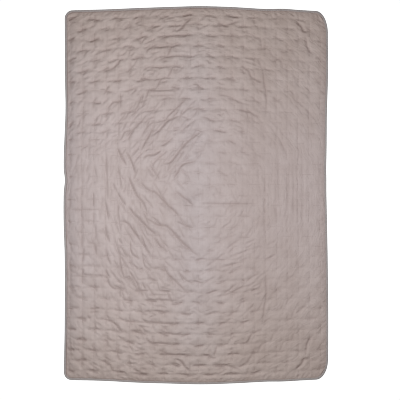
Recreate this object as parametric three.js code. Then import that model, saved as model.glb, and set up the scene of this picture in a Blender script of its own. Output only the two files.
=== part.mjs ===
import * as THREE from 'three';

// A single-bed quilt laid flat, face up: a filled body sewn through with small crosses, and the narrow strip
// of cloth that binds its edge. Millimetres, +X across the face, +Y towards the head end, +Z up.
// The origin is on the surface that it lies on, under the middle of the quilt.

// Finished size with the binding: the width, and the length along each side. The ends bow out past it.
const WIDTH = 1400;
const SIDE_LENGTH = 1970;

// Rounding of the four corners, each across and along the quilt. The right-hand ones are long and soft.
const CORNERS = {
  headLeft: { across: 43, along: 43 },
  headRight: { across: 64, along: 117 },
  footLeft: { across: 40, along: 40 },
  footRight: { across: 64, along: 107 },
};

// How far each end stands out past the side length, by the place across the quilt
const END_BOW = [
  { across: -660, head: 0, foot: 0 },
  { across: -480, head: 5, foot: 5 },
  { across: -310, head: 12, foot: 14 },
  { across: -140, head: 18, foot: 19 },
  { across: 30, head: 22, foot: 23 },
  { across: 200, head: 17, foot: 18 },
  { across: 370, head: 7, foot: 9 },
  { across: 460, head: 8, foot: 8 },
  { across: 545, head: 2, foot: 3 },
  { across: 660, head: -5, foot: -3 },
];

// How far each side wanders out from the straight, by the place along the quilt
const SIDE_WANDER = [
  { along: -910, left: 3, right: 4 },
  { along: -665, left: -1, right: 5 },
  { along: -345, left: -1, right: 2 },
  { along: -130, left: 5, right: -2 },
  { along: 20, left: 4, right: -5 },
  { along: 80, left: -2, right: -5 },
  { along: 140, left: 4, right: -6 },
  { along: 240, left: 3, right: -4 },
  { along: 455, left: -5, right: -2 },
  { along: 615, left: -3, right: 3 },
  { along: 935, left: -1, right: 3 },
];

// The rows of crosses bow out more than the ends do: how far at the middle of the quilt, where across it the
// bow turns inwards, how far along it the bow is full, and how near the ends it fades out
const ROW_BOW = { out: 8, reach: 400, full: 450, fade: 150 };

// At the left the rows are dragged towards the head: how far, by the place along the quilt, and how far left of
// the middle the drag is full
const ROW_DRAG_REACH = 530;
const ROW_DRAG = [
  { along: -610, dragged: 0 },
  { along: -500, dragged: 3 },
  { along: -387, dragged: 7 },
  { along: -276, dragged: 16 },
  { along: -166, dragged: 24 },
  { along: -55, dragged: 32 },
  { along: 55, dragged: 43 },
  { along: 166, dragged: 53 },
  { along: 276, dragged: 22 },
  { along: 387, dragged: -5 },
  { along: 500, dragged: 0 },
];

// Binding: a strip folded over the edge. Its cloth is doubled, and it stands clear of the body all round.
const BINDING_WIDTH = 11;
const BINDING_CLOTH = 1.2;
const BINDING_CROWN = 0.5;
const BINDING_ROUND = 1.6;
const CLEARANCE = 0.3;

// Filled body: the flat flange inside the binding, the puffs, and the cloth where it is sewn through
const FLANGE_THICKNESS = 3.4;
const PUFF_HEIGHT = 13;
const SEWN_HEIGHT = 6;
const EDGE_RISE = 34;
const UNDERSIDE_STEP = 1;

// Slow waves in the filling's loft: their lengths across and along the quilt, and their share of the puff
const LOFT_SHARE = 0.06;
const LOFT_WAVES = [
  { across: 446, along: 364, shift: 1.3 },
  { across: 1190, along: 1500, shift: 0.4 },
];

// Sewn crosses: columns a little closer together towards the right, rows evenly spaced about the middle, with
// the last row at each end drawn in. Every second place has a cross, so the rows are offset by one column.
const CROSS_COLUMNS = 23;
const FIRST_COLUMN = -668.8;
const COLUMN_STEP = 63.7;
const COLUMN_EASE = 0.152;
const CROSS_ROWS = 35;
const ROW_STEP = 55.3;
const LAST_ROW_DRAWN_IN = 5.5;
const CROSS_ARM = 33;
const SEAM_HALF_WIDTH = 13;

// Main creases, as soft troughs from one point of the face to another
const CREASE_HALF_WIDTH = 15;
const CREASES = [
  { x0: -405, y0: 240, x1: -300, y1: 120, depth: 3.0 },
  { x0: -300, y0: 120, x1: -190, y1: 0, depth: 3.0 },
  { x0: -287, y0: 200, x1: -127, y1: 360, depth: 2.5 },
  { x0: -127, y0: 80, x1: 43, y1: 338, depth: 2.5 },
  { x0: -340, y0: -60, x1: -250, y1: -165, depth: 2.5 },
  { x0: -250, y0: -165, x1: -10, y1: -330, depth: 2.5 },
  { x0: 10, y0: -46, x1: 326, y1: -46, depth: 2.5 },
  { x0: -31, y0: 946, x1: -106, y1: 870, depth: 3.5 },
  { x0: -31, y0: -942, x1: -106, y1: -867, depth: 3.5 },
  { x0: 368, y0: 670, x1: 368, y1: 340, depth: 2.0 },
  { x0: 570, y0: 905, x1: 622, y1: 750, depth: 3.0 },
  { x0: 570, y0: -905, x1: 622, y1: -750, depth: 3.0 },
];

// Fineness of the face's grid
const STEPS_BETWEEN_SEWN_LINES = 2;
const STEPS_TO_SIDE = 2;
const STEPS_TO_END = 3;

const HALF_FIELD_WIDTH = WIDTH / 2 - BINDING_WIDTH;
const HALF_FIELD_LENGTH = SIDE_LENGTH / 2 - BINDING_WIDTH;
const FLANGE_BOTTOM = BINDING_CLOTH + CLEARANCE;
const FLANGE_TOP = FLANGE_BOTTOM + FLANGE_THICKNESS;
const crossColumns = Array.from(
  { length: CROSS_COLUMNS },
  (_, i) => FIRST_COLUMN + COLUMN_STEP * i - COLUMN_EASE * i * i,
);
const crossRows = Array.from(
  { length: CROSS_ROWS },
  (_, j) => ROW_STEP * (j - (CROSS_ROWS - 1) / 2),
);
crossRows[0] += LAST_ROW_DRAWN_IN;
crossRows[CROSS_ROWS - 1] -= LAST_ROW_DRAWN_IN;

// Value at one place on the smooth curve through a table's rows
function readTable(rows, place, at, value) {
  const last = rows.length - 1;
  const slope = (k) => {
    const before = rows[Math.max(k - 1, 0)];
    const after = rows[Math.min(k + 1, last)];
    return (after[value] - before[value]) / (after[place] - before[place]);
  };
  let k = 0;
  while (k < last - 1 && at > rows[k + 1][place]) {
    k += 1;
  }
  const span = rows[k + 1][place] - rows[k][place];
  const t = THREE.MathUtils.clamp((at - rows[k][place]) / span, 0, 1);
  const rise = rows[k + 1][value] - rows[k][value];
  const smooth = t * t * (3 - 2 * t);
  const lead = slope(k) * span * t * (1 - t) * (1 - t);
  const trail = slope(k + 1) * span * t * t * (1 - t);
  return rows[k][value] + rise * smooth + lead - trail;
}

// How far a row of crosses stands out past the bow of its end
function rowBow(x, y) {
  const bow = Math.max(ROW_BOW.out * (1 - (x / ROW_BOW.reach) ** 2), -ROW_BOW.out / 2);
  const fromEnd = THREE.MathUtils.clamp((HALF_FIELD_LENGTH - Math.abs(y)) / ROW_BOW.fade, 0, 1);
  return bow * THREE.MathUtils.clamp(y / ROW_BOW.full, -1, 1) * fromEnd;
}

// Where a point of the straight, square-cornered field lies on the real face. Near a corner the square is
// drawn in to the corner's ellipse, and then the rows are dragged, the ends and rows bow and the sides wander.
function lay(u, v) {
  const end = v < 0 ? 'foot' : 'head';
  const side = u < 0 ? 'left' : 'right';
  const corner = CORNERS[end + (u < 0 ? 'Left' : 'Right')];
  const across = corner.across - BINDING_WIDTH;
  const along = corner.along - BINDING_WIDTH;
  let s = (Math.abs(u) - HALF_FIELD_WIDTH) / across + 1;
  let t = (Math.abs(v) - HALF_FIELD_LENGTH) / along + 1;
  if (s > 0 && t > 0) {
    [s, t] = [s * Math.sqrt(1 - (t * t) / 2), t * Math.sqrt(1 - (s * s) / 2)];
  }
  const x = Math.sign(u) * (HALF_FIELD_WIDTH + across * (s - 1));
  const leftShare = THREE.MathUtils.clamp(-u / ROW_DRAG_REACH, 0, 1);
  const drag = leftShare * readTable(ROW_DRAG, 'along', v, 'dragged');
  const y = Math.sign(v) * (HALF_FIELD_LENGTH + along * (t - 1)) + drag;
  const bow = readTable(END_BOW, 'across', x, end);
  const wander = readTable(SIDE_WANDER, 'along', y, side);
  return new THREE.Vector2(
    x + (wander * x) / HALF_FIELD_WIDTH,
    y + (bow * y) / HALF_FIELD_LENGTH + rowBow(x, y),
  );
}

function distanceToCross(u, v) {
  let nearest = Infinity;
  crossColumns.forEach((column, i) => {
    crossRows.forEach((row, j) => {
      if ((i + j) % 2 === 0) {
        const dx = Math.abs(u - column);
        const dy = Math.abs(v - row);
        const level = Math.hypot(Math.max(0, dx - CROSS_ARM), dy);
        const upright = Math.hypot(dx, Math.max(0, dy - CROSS_ARM));
        nearest = Math.min(nearest, level, upright);
      }
    });
  });
  return nearest;
}

function creaseDepth(x, y) {
  let deepest = 0;
  for (const { x0, y0, x1, y1, depth } of CREASES) {
    const dx = x1 - x0;
    const dy = y1 - y0;
    const t = THREE.MathUtils.clamp(((x - x0) * dx + (y - y0) * dy) / (dx * dx + dy * dy), 0, 1);
    const away = Math.hypot(x - x0 - dx * t, y - y0 - dy * t) / CREASE_HALF_WIDTH;
    deepest = Math.max(deepest, depth * Math.exp(-away * away));
  }
  return deepest;
}

// Height of a puff in the unevenly spread filling
function puffHeight(u, v) {
  const wave = (at, length, shift) => Math.sin((2 * Math.PI * at) / length + shift);
  const waves = LOFT_WAVES.map(
    ({ across, along, shift }) => wave(u, across, shift) * wave(v, along, shift),
  );
  return PUFF_HEIGHT * (1 + LOFT_SHARE * waves.reduce((sum, height) => sum + height, 0));
}

function faceHeight(u, v) {
  const seam = Math.exp(-((distanceToCross(u, v) / SEAM_HALF_WIDTH) ** 2));
  const puff = puffHeight(u, v);
  const { x, y } = lay(u, v);
  const sewn = puff + (SEWN_HEIGHT - puff) * seam - creaseDepth(x, y) * (1 - seam);
  const fromEdge = Math.min(HALF_FIELD_WIDTH - Math.abs(u), HALF_FIELD_LENGTH - Math.abs(v));
  const rise = THREE.MathUtils.smoothstep(fromEdge, 0, EDGE_RISE);
  return FLANGE_TOP + (sewn - FLANGE_TOP) * rise;
}

// Grid lines: every sewn line, the lines half-way between them, and a few out to the field's two edges
function gridLines(halfField, sewn, stepsToEdge) {
  const steps = (from, to, n) => Array.from({ length: n }, (_, k) => from + ((to - from) * k) / n);
  const inner = sewn.slice(0, -1).flatMap((line, k) => steps(line, sewn[k + 1], STEPS_BETWEEN_SEWN_LINES));
  const first = steps(-halfField, sewn[0], stepsToEdge);
  const last = steps(sewn.at(-1), halfField, stepsToEdge);
  return [...first, ...inner, ...last, halfField];
}

const columnLines = gridLines(HALF_FIELD_WIDTH, crossColumns, STEPS_TO_SIDE);
const rowLines = gridLines(HALF_FIELD_LENGTH, crossRows, STEPS_TO_END);
const faceGrid = rowLines.map((v) => columnLines.map((u) => lay(u, v)));

// The field's edge, anticlockwise from above, with each point's outward mitre
const lastColumn = columnLines.length - 1;
const lastRow = rowLines.length - 1;
const edgeCells = [
  ...columnLines.slice(0, -1).map((_, c) => [0, c]),
  ...rowLines.slice(0, -1).map((_, r) => [r, lastColumn]),
  ...columnLines.slice(0, -1).map((_, c) => [lastRow, lastColumn - c]),
  ...rowLines.slice(0, -1).map((_, r) => [lastRow - r, 0]),
];
const edge = edgeCells.map(([r, c]) => faceGrid[r][c]);
const mitres = edge.map((point, k) => {
  const outward = (a, b) => new THREE.Vector2(b.y - a.y, a.x - b.x).normalize();
  const before = outward(edge.at(k - 1), point);
  const after = outward(point, edge[(k + 1) % edge.length]);
  const mitre = before.clone().add(after).normalize();
  return mitre.divideScalar(mitre.dot(after));
});

// A closed solid being gathered: points, and triangles between them
class Solid {
  points = [];
  triangles = [];

  add(x, y, z) {
    this.points.push(x, y, z);
    return this.points.length / 3 - 1;
  }

  // One ring round the quilt, an inset in from its outer edge, at one height
  ring(inset, z) {
    return edge.map((point, k) => {
      const place = point.clone().addScaledVector(mitres[k], BINDING_WIDTH - inset);
      return this.add(place.x, place.y, z);
    });
  }

  // The wall between two rings, which faces up where the second ring is the outer one
  join(first, second) {
    first.forEach((a, k) => {
      const next = (k + 1) % first.length;
      this.triangles.push(a, second[k], second[next], a, second[next], first[next]);
    });
  }

  mesh(name, material) {
    const geometry = new THREE.BufferGeometry();
    geometry.setAttribute('position', new THREE.Float32BufferAttribute(this.points, 3));
    geometry.setIndex(this.triangles);
    geometry.computeVertexNormals();
    const mesh = new THREE.Mesh(geometry, material);
    mesh.name = name;
    return mesh;
  }
}

// Body: the sewn face, the flange under the binding, and a flat underside
function quiltBody(material) {
  const body = new Solid();
  const face = rowLines.map((v, r) => columnLines.map((u, c) => {
    const place = faceGrid[r][c];
    return body.add(place.x, place.y, faceHeight(u, v));
  }));
  const height = (id) => body.points[3 * id + 2];
  for (let r = 0; r < lastRow; r += 1) {
    for (let c = 0; c < lastColumn; c += 1) {
      const [a, b, d, e] = [face[r][c], face[r][c + 1], face[r + 1][c + 1], face[r + 1][c]];
      if (Math.abs(height(a) - height(d)) < Math.abs(height(b) - height(e))) {
        body.triangles.push(a, b, d, a, d, e);
      } else {
        body.triangles.push(a, b, e, b, d, e);
      }
    }
  }
  const flangeEnd = BINDING_CLOTH + 2 * CLEARANCE;
  const stepTop = BINDING_WIDTH + CLEARANCE;
  const rings = [
    edgeCells.map(([r, c]) => face[r][c]),
    body.ring(flangeEnd, FLANGE_TOP),
    body.ring(flangeEnd, FLANGE_BOTTOM),
    body.ring(stepTop, FLANGE_BOTTOM),
    body.ring(stepTop + UNDERSIDE_STEP, 0),
  ];
  rings.slice(1).forEach((ring, k) => body.join(rings[k], ring));
  const rim = rings.at(-1);
  const middle = body.add(0, 0, 0);
  rim.forEach((id, k) => body.triangles.push(middle, rim[(k + 1) % rim.length], id));
  return body.mesh('quilt_body', material);
}

// Binding: one folded section, open towards the middle of the quilt, carried round the edge
function edgeBinding(material) {
  const binding = new Solid();
  const inner = BINDING_WIDTH - CLEARANCE;
  const insideTop = FLANGE_TOP + CLEARANCE;
  const outsideTop = insideTop + BINDING_CLOTH;
  const wall = BINDING_CLOTH + CLEARANCE;
  const section = [
    { inset: inner, z: outsideTop - BINDING_CROWN },
    { inset: inner / 2, z: outsideTop },
    { inset: BINDING_ROUND / 2, z: outsideTop - BINDING_ROUND / 2 },
    { inset: 0, z: outsideTop / 2 },
    { inset: BINDING_ROUND / 2, z: BINDING_ROUND / 2 },
    { inset: 2 * BINDING_ROUND, z: 0 },
    { inset: inner, z: 0 },
    { inset: inner, z: BINDING_CLOTH },
    { inset: wall, z: BINDING_CLOTH },
    { inset: wall, z: insideTop },
    { inset: inner, z: insideTop },
  ];
  const rings = section.map(({ inset, z }) => binding.ring(inset, z));
  rings.forEach((ring, k) => binding.join(ring, rings[(k + 1) % rings.length]));
  return binding.mesh('edge_binding', material);
}

const bodyCloth = new THREE.MeshStandardMaterial({ color: 0xb0a29f, roughness: 0.92, metalness: 0 });
const bindingCloth = new THREE.MeshStandardMaterial({ color: 0x9c918e, roughness: 0.92, metalness: 0 });

const quilt = new THREE.Group();
quilt.add(quiltBody(bodyCloth), edgeBinding(bindingCloth));

// The middle of the whole outline goes over the origin
const middle = new THREE.Box3().setFromObject(quilt).getCenter(new THREE.Vector3());
quilt.position.set(-middle.x, -middle.y, 0);

export default quilt;
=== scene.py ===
import bpy
import numpy as np
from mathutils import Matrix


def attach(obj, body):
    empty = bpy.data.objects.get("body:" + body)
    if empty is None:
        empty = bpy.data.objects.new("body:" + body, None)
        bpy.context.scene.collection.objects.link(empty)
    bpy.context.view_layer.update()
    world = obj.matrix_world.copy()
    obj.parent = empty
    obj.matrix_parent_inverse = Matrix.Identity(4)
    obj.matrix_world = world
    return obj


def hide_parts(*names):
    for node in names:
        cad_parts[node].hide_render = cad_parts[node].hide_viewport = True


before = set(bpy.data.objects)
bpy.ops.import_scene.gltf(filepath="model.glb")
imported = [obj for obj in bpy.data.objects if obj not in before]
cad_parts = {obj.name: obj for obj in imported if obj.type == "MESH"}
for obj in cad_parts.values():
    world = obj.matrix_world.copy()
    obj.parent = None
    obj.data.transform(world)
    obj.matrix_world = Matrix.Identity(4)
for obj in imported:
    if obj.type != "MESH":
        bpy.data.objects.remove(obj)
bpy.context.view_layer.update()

# Quilt body. Two layers of soft plain-weave cotton with a thin filling between them, sewn through with small
# crosses in offset rows. The thread draws the cloth down into a groove at each cross, and the spare cloth
# between the crosses stands up in soft puffs and puckers.
mm = 0.001
WIDTH = 1400 * mm
SIDE_LENGTH = 1970 * mm
BINDING_WIDTH = 11 * mm
HALF_ACROSS = WIDTH / 2 - BINDING_WIDTH
HALF_ALONG = SIDE_LENGTH / 2 - BINDING_WIDTH

CORNER_ROUNDING = {
    # corner: how far the rounding reaches (across, along) the quilt, in mm
    ("foot", "left"): (40, 40),
    ("foot", "right"): (64, 107),
    ("head", "left"): (43, 43),
    ("head", "right"): (64, 117),
}

END_BOW = np.array([
    # place across, head end stands out, foot end stands out, in mm
    (-660, 0, 0), (-480, 5, 5), (-310, 12, 14), (-140, 18, 19), (30, 22, 23),
    (200, 17, 18), (370, 7, 9), (460, 8, 8), (545, 2, 3), (660, -5, -3),
]) * mm

SIDE_WANDER = np.array([
    # place along, left side stands out, right side stands out, in mm
    (-910, 3, 4), (-665, -1, 5), (-345, -1, 2), (-130, 5, -2), (20, 4, -5), (80, -2, -5),
    (140, 4, -6), (240, 3, -4), (455, -5, -2), (615, -3, 3), (935, -1, 3),
]) * mm

# The rows of crosses bow out more than the ends do: how far at the middle of the quilt, where across it the
# bow turns inwards, how far along it the bow is full, and how near the ends it fades out
ROW_BOW = 8 * mm
ROW_BOW_REACH = 400 * mm
ROW_BOW_FULL = 450 * mm
ROW_BOW_FADE = 150 * mm

# At the left the cloth between the rows was dragged towards the head, most of all just above the middle
ROW_DRAG = np.array([
    # place along, how far the rows there are dragged towards the head, in mm
    (-610, 0), (-500, 3), (-387, 7), (-276, 16), (-166, 24), (-55, 32), (55, 43), (166, 53),
    (276, 22), (387, -5), (500, 0),
]) * mm
ROW_DRAG_REACH = 530 * mm
LARGEST_DRAG = ROW_DRAG[:, 1].max()


def curve_through(places, values, at):
    """Value at each place on the smooth curve through a short table."""
    slopes = np.empty(len(places))
    slopes[1:-1] = (values[2:] - values[:-2]) / (places[2:] - places[:-2])
    slopes[0] = (values[1] - values[0]) / (places[1] - places[0])
    slopes[-1] = (values[-1] - values[-2]) / (places[-1] - places[-2])
    k = np.clip(np.searchsorted(places, at) - 1, 0, len(places) - 2)
    span = places[k + 1] - places[k]
    t = np.clip((at - places[k]) / span, 0, 1)
    smooth = t * t * (3 - 2 * t)
    lead = slopes[k] * span * t * (1 - t) ** 2
    trail = slopes[k + 1] * span * t * t * (1 - t)
    return values[k] + (values[k + 1] - values[k]) * smooth + lead - trail


def lay_out(u, v):
    """Places points of the straight, square-cornered field on the real face, with its soft corners,
    dragged rows, bowed ends and wandering sides."""
    left_share = np.clip(-u / ROW_DRAG_REACH, 0, 1)
    x, y = u.copy(), v + left_share * curve_through(ROW_DRAG[:, 0], ROW_DRAG[:, 1], v)
    for (end, side), reach in CORNER_ROUNDING.items():
        sx = -1 if side == "left" else 1
        sy = -1 if end == "foot" else 1
        across, along = (r * mm - BINDING_WIDTH for r in reach)
        s = (sx * u - HALF_ACROSS) / across + 1
        t = (sy * v - HALF_ALONG) / along + 1
        near = (s > 0) & (t > 0)
        drawn_s = s * np.sqrt(np.clip(1 - t * t / 2, 0, 1))
        drawn_t = t * np.sqrt(np.clip(1 - s * s / 2, 0, 1))
        x = np.where(near, sx * (HALF_ACROSS + across * (drawn_s - 1)), x)
        y = np.where(near, sy * (HALF_ALONG + along * (drawn_t - 1)), y)
    head = curve_through(END_BOW[:, 0], END_BOW[:, 1], x)
    foot = curve_through(END_BOW[:, 0], END_BOW[:, 2], x)
    left = curve_through(SIDE_WANDER[:, 0], SIDE_WANDER[:, 1], y)
    right = curve_through(SIDE_WANDER[:, 0], SIDE_WANDER[:, 2], y)
    bow = np.where(y > 0, head, foot)
    wander = np.where(x > 0, right, left)
    from_edge = np.clip((HALF_ALONG - np.abs(y)) / ROW_BOW_FADE, 0, 1)
    row_bow = np.maximum(ROW_BOW * (1 - (x / ROW_BOW_REACH) ** 2), -ROW_BOW / 2)
    row_bow = row_bow * np.clip(y / ROW_BOW_FULL, -1, 1) * from_edge
    return x + wander * x / HALF_ACROSS, y + bow * y / HALF_ALONG + row_bow


# The sewn crosses stand at every second place of these columns and rows. The columns come a little closer
# together towards the right, and the last row at each end is drawn in
CROSS_COLUMNS = 23
FIRST_COLUMN = -668.8 * mm
COLUMN_STEP = 63.7 * mm
COLUMN_EASE = 0.152 * mm
CROSS_ROWS = 35
ROW_STEP = 55.3 * mm
LAST_ROW_DRAWN_IN = 5.5 * mm
count = np.arange(CROSS_COLUMNS)
cross_columns = FIRST_COLUMN + COLUMN_STEP * count - COLUMN_EASE * count**2
cross_rows = ROW_STEP * (np.arange(CROSS_ROWS) - (CROSS_ROWS - 1) / 2)
cross_rows[0] += LAST_ROW_DRAWN_IN
cross_rows[-1] -= LAST_ROW_DRAWN_IN

# The face is simulated on a grid that follows the sewn lines: steps between two of them, steps from the last
# one out to the edge, and how many steps an arm of a cross reaches
STEPS = 5
STEPS_TO_SIDE = 2
STEPS_TO_END = 3
ARM_STEPS = 3


def grid_lines(half, groove_shade, steps_to_edge):
    """Lines of the grid one way: the sewn ones, even steps between them, and steps out to both edges."""
    parts = [np.linspace(-half, groove_shade[0], steps_to_edge, endpoint=False)]
    for low, high in zip(groove_shade[:-1], groove_shade[1:]):
        parts.append(np.linspace(low, high, STEPS, endpoint=False))
    parts.append(np.linspace(groove_shade[-1], half, steps_to_edge + 1))
    return np.concatenate(parts)


lines_across = grid_lines(HALF_ACROSS, cross_columns, STEPS_TO_SIDE)
lines_along = grid_lines(HALF_ALONG, cross_rows, STEPS_TO_END)
grid_u, grid_v = np.meshgrid(lines_across, lines_along)

# Height of the face where it is sewn and at its edge, how much the sewn arms differ in depth and at most, the
# rise that the loose cloth starts from, and how weak an upright fold has only a short arm held down
SEWN_HEIGHT = 8.0 * mm
EDGE_HEIGHT = 4.9 * mm
ARM_DEPTH_SPREAD = 1.6 * mm
LARGEST_SPREADS = 1.5
START_RISE = 1.0 * mm
START_UNEVENNESS = 1.0 * mm
START_EVENING = 4
LOOSE_EVENING = 3
FLAT_UPRIGHT = 0.45
FLAT_ARM_STEPS = 2

rng = np.random.default_rng(4107)


def blurred(values, times):
    """Evens out a grid of values by repeated averaging with the neighbours."""
    for _ in range(times):
        for axis in (0, 1):
            values = (np.roll(values, 1, axis) + np.roll(values, -1, axis) + 2 * values) / 4
    return values


def uneven(shape, times):
    """A smooth random field with a spread of 1."""
    field = blurred(rng.normal(size=shape), times)
    return field / field.std()


# The spare cloth lies in folds that run in rings round the middle of the quilt. So the level folds are deep
# towards the ends and the upright ones towards the sides, and all are deeper on the left than on the right
LEVEL_ACROSS = np.array([
    # place across in mm, share of a level fold's depth
    (-700, 1.5), (-300, 1.45), (0, 1.35), (250, 1.05), (380, 0.6), (700, 0.5),
])
LEVEL_ALONG = np.array([
    # distance from the middle along the quilt in mm, share of a level fold's depth
    (0, 0.42), (200, 0.47), (420, 0.87), (1000, 0.95),
])
LEVEL_AT_LEFT = np.array([
    # place along in mm, the same share near the left side
    (-1000, 0.95), (-500, 0.85), (-330, 0.5), (-220, 0.36), (0, 0.36), (60, 0.08), (250, 0.15), (330, 0.55),
    (500, 0.85), (1000, 0.95),
])
LEVEL_AT_RIGHT = np.array([
    # place along in mm, the same share near the right side
    (-1000, 0.95), (-500, 0.85), (-250, 0.15), (0, 0.08), (250, 0.15), (500, 0.85), (1000, 0.95),
])
NEAR_SIDES = np.array([
    # place across in mm, how much of the sides' own share holds there
    (-350, 1.0), (-150, 0.0), (250, 0.0), (400, 1.0),
])
UPRIGHT_ACROSS = np.array([
    # place across in mm, share of an upright fold's depth
    (-700, 1.0), (-350, 1.0), (-150, 0.5), (0, 0.3), (250, 0.12), (700, 0.12),
])
UPRIGHT_ALONG = np.array([
    # place along in mm, share of an upright fold's depth
    (-1000, 0.6), (-700, 0.75), (-480, 0.7), (-40, 0.6), (40, 0.35), (270, 0.35), (380, 0.8), (700, 0.7),
    (1000, 0.6),
])


def fold_share(across, along, x, y):
    """Share of a fold's depth at a place, from a table across the quilt and one along it."""
    share = np.interp(x / mm, across[:, 0], across[:, 1])
    return share * np.interp(y / mm, along[:, 0], along[:, 1])


def level_fold_share(x, y):
    """Share of a level fold's depth at a place, with the sides' own share near them."""
    at_side = np.interp(x / mm, NEAR_SIDES[:, 0], NEAR_SIDES[:, 1])
    side_share = np.where(x < 0, fold_share(LEVEL_ACROSS, LEVEL_AT_LEFT, x, y),
                          fold_share(LEVEL_ACROSS, LEVEL_AT_RIGHT, x, y))
    return (1 - at_side) * fold_share(LEVEL_ACROSS, LEVEL_ALONG, x, abs(y)) + at_side * side_share


held = np.zeros(grid_u.shape, bool)
held_height = np.full(grid_u.shape, SEWN_HEIGHT)
crosses = []
for column in range(CROSS_COLUMNS):
    for row in range(column % 2, CROSS_ROWS, 2):
        c = STEPS_TO_SIDE + STEPS * column
        r = STEPS_TO_END + STEPS * row
        upright_share = fold_share(UPRIGHT_ACROSS, UPRIGHT_ALONG, lines_across[c], lines_along[r])
        upright_steps = ARM_STEPS if upright_share > FLAT_UPRIGHT else FLAT_ARM_STEPS
        level = slice(max(1, c - ARM_STEPS), min(held.shape[1] - 1, c + ARM_STEPS + 1))
        upright = slice(max(1, r - upright_steps), min(held.shape[0] - 1, r + upright_steps + 1))
        spreads = np.clip(rng.normal(0, 1, 2), -LARGEST_SPREADS, LARGEST_SPREADS)
        depth_level, depth_upright = spreads * ARM_DEPTH_SPREAD
        held[r, level] = True
        held[upright, c] = True
        held_height[r, level] = SEWN_HEIGHT + depth_level
        held_height[upright, c] = SEWN_HEIGHT + depth_upright
        held_height[r, c] = SEWN_HEIGHT + min(depth_level, depth_upright)
        crosses.append((column, row))
rim = np.zeros_like(held)
rim[[0, -1]] = True
rim[:, [0, -1]] = True
held |= rim
held_height[rim] = EDGE_HEIGHT

looseness = blurred((~held).astype(float), LOOSE_EVENING)
start_rise = START_RISE + START_UNEVENNESS * uneven(held.shape, START_EVENING)
start_height = SEWN_HEIGHT + looseness * start_rise
start_height = np.where(held, held_height, start_height)


def grid_faces(ids):
    """The four-sided faces between the neighbours of a grid of point numbers."""
    return np.stack([ids[:-1, :-1], ids[:-1, 1:], ids[1:, 1:], ids[1:, :-1]], -1).reshape(-1, 4)


def new_piece(name, points, faces):
    """A smooth-shaded mesh object from arrays of points and faces."""
    mesh = bpy.data.meshes.new(name)
    mesh.from_pydata(np.asarray(points).reshape(-1, 3).tolist(), [], [list(map(int, f)) for f in faces])
    mesh.shade_smooth()
    piece = bpy.data.objects.new(name, mesh)
    bpy.context.scene.collection.objects.link(piece)
    return piece


# The filling's push on the cloth, and how much larger than the field the cloth is where it is tight and slack
FILLING_PUSH = 120
SPARE_TIGHT = 0.02
SPARE_SLACK = 0.05
SLACK_MEAN = 0.5
SLACK_SPREAD = 0.25
SLACK_EVENING = 30
SETTLE_FRAMES = 14


def settle(points, held):
    """Lets the spare cloth between the held stitches puff and pucker, and gives back the points."""
    ids = np.arange(held.size).reshape(held.shape)
    cloth = new_piece("settling_face", points, grid_faces(ids))
    stitched = cloth.vertex_groups.new(name="stitched")
    stitched.add(np.flatnonzero(held.ravel()).tolist(), 1.0, "REPLACE")
    slack = cloth.vertex_groups.new(name="slack")
    weights = np.clip(SLACK_MEAN + SLACK_SPREAD * uneven(held.shape, SLACK_EVENING), 0, 1)
    for index, weight in enumerate(weights.ravel()):
        slack.add([index], float(weight), "REPLACE")
    modifier = cloth.modifiers.new("settle", "CLOTH")
    settings = modifier.settings
    settings.quality = 4
    settings.tension_stiffness = settings.compression_stiffness = 30
    settings.shear_stiffness = 1
    settings.bending_stiffness = 5
    settings.vertex_group_mass = "stitched"
    settings.pin_stiffness = 1
    settings.use_pressure = True
    settings.uniform_pressure_force = FILLING_PUSH
    settings.vertex_group_shrink = "slack"
    settings.shrink_min = -SPARE_TIGHT
    settings.shrink_max = -SPARE_SLACK
    settings.effector_weights.gravity = 0
    modifier.collision_settings.use_collision = False
    modifier.point_cache.frame_end = SETTLE_FRAMES
    scene = bpy.context.scene
    for step in range(1, SETTLE_FRAMES + 1):
        scene.frame_set(step)
    settled = cloth.evaluated_get(bpy.context.evaluated_depsgraph_get())
    flat = np.empty(3 * held.size, np.float32)
    settled.data.vertices.foreach_get("co", flat)
    mesh = cloth.data
    bpy.data.objects.remove(cloth)
    bpy.data.meshes.remove(mesh)
    scene.frame_set(1)
    return flat.reshape(*held.shape, 3).astype(float)


def finer(values):
    """Halves the steps of a grid, with each new point on the smooth curve through its four neighbours."""
    for _ in range(2):
        ends = np.pad(values, [(1, 1)] + [(0, 0)] * (values.ndim - 1), mode="reflect", reflect_type="odd")
        middle = (9 * (ends[1:-2] + ends[2:-1]) - ends[:-3] - ends[3:]) / 16
        doubled = np.empty((2 * len(values) - 1,) + values.shape[1:])
        doubled[::2] = values
        doubled[1::2] = middle
        values = doubled.swapaxes(0, 1)
    return values


start = np.stack([grid_u, grid_v, start_height], -1)
face = finer(settle(start, held))
fine_across, fine_along = finer(grid_u)[0], finer(grid_v)[:, 0]
face_x, face_y = lay_out(face[..., 0], face[..., 1])

# The puffs are lower in the calm middle, and close to the edge, where the binding holds all the layers
EDGE_RISE = 55 * mm
SIDE_SEAM_RISE = 14 * mm
SIDE_SEAM_SHARE = np.array([
    # place across in mm, share of the rise that is close to the binding of a side
    (-700, 0.45), (700, 0.75),
])
END_SEAM_RISE = 9 * mm
END_SEAM_SHARE = 0.8
CALM_PUFFS_ACROSS = np.array([
    # place across in mm, share of the puffs' height in the calm middle of the quilt's length
    (-700, 0.45), (200, 0.45), (400, 0.25), (700, 0.25),
])
FULL_PUFFS = 0.78
rest_u, rest_v = np.meshgrid(fine_across, fine_along)
side_distance = HALF_ACROSS - np.abs(rest_u)
end_distance = HALF_ALONG - np.abs(rest_v)
edge_distance = np.minimum(side_distance, end_distance)


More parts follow.
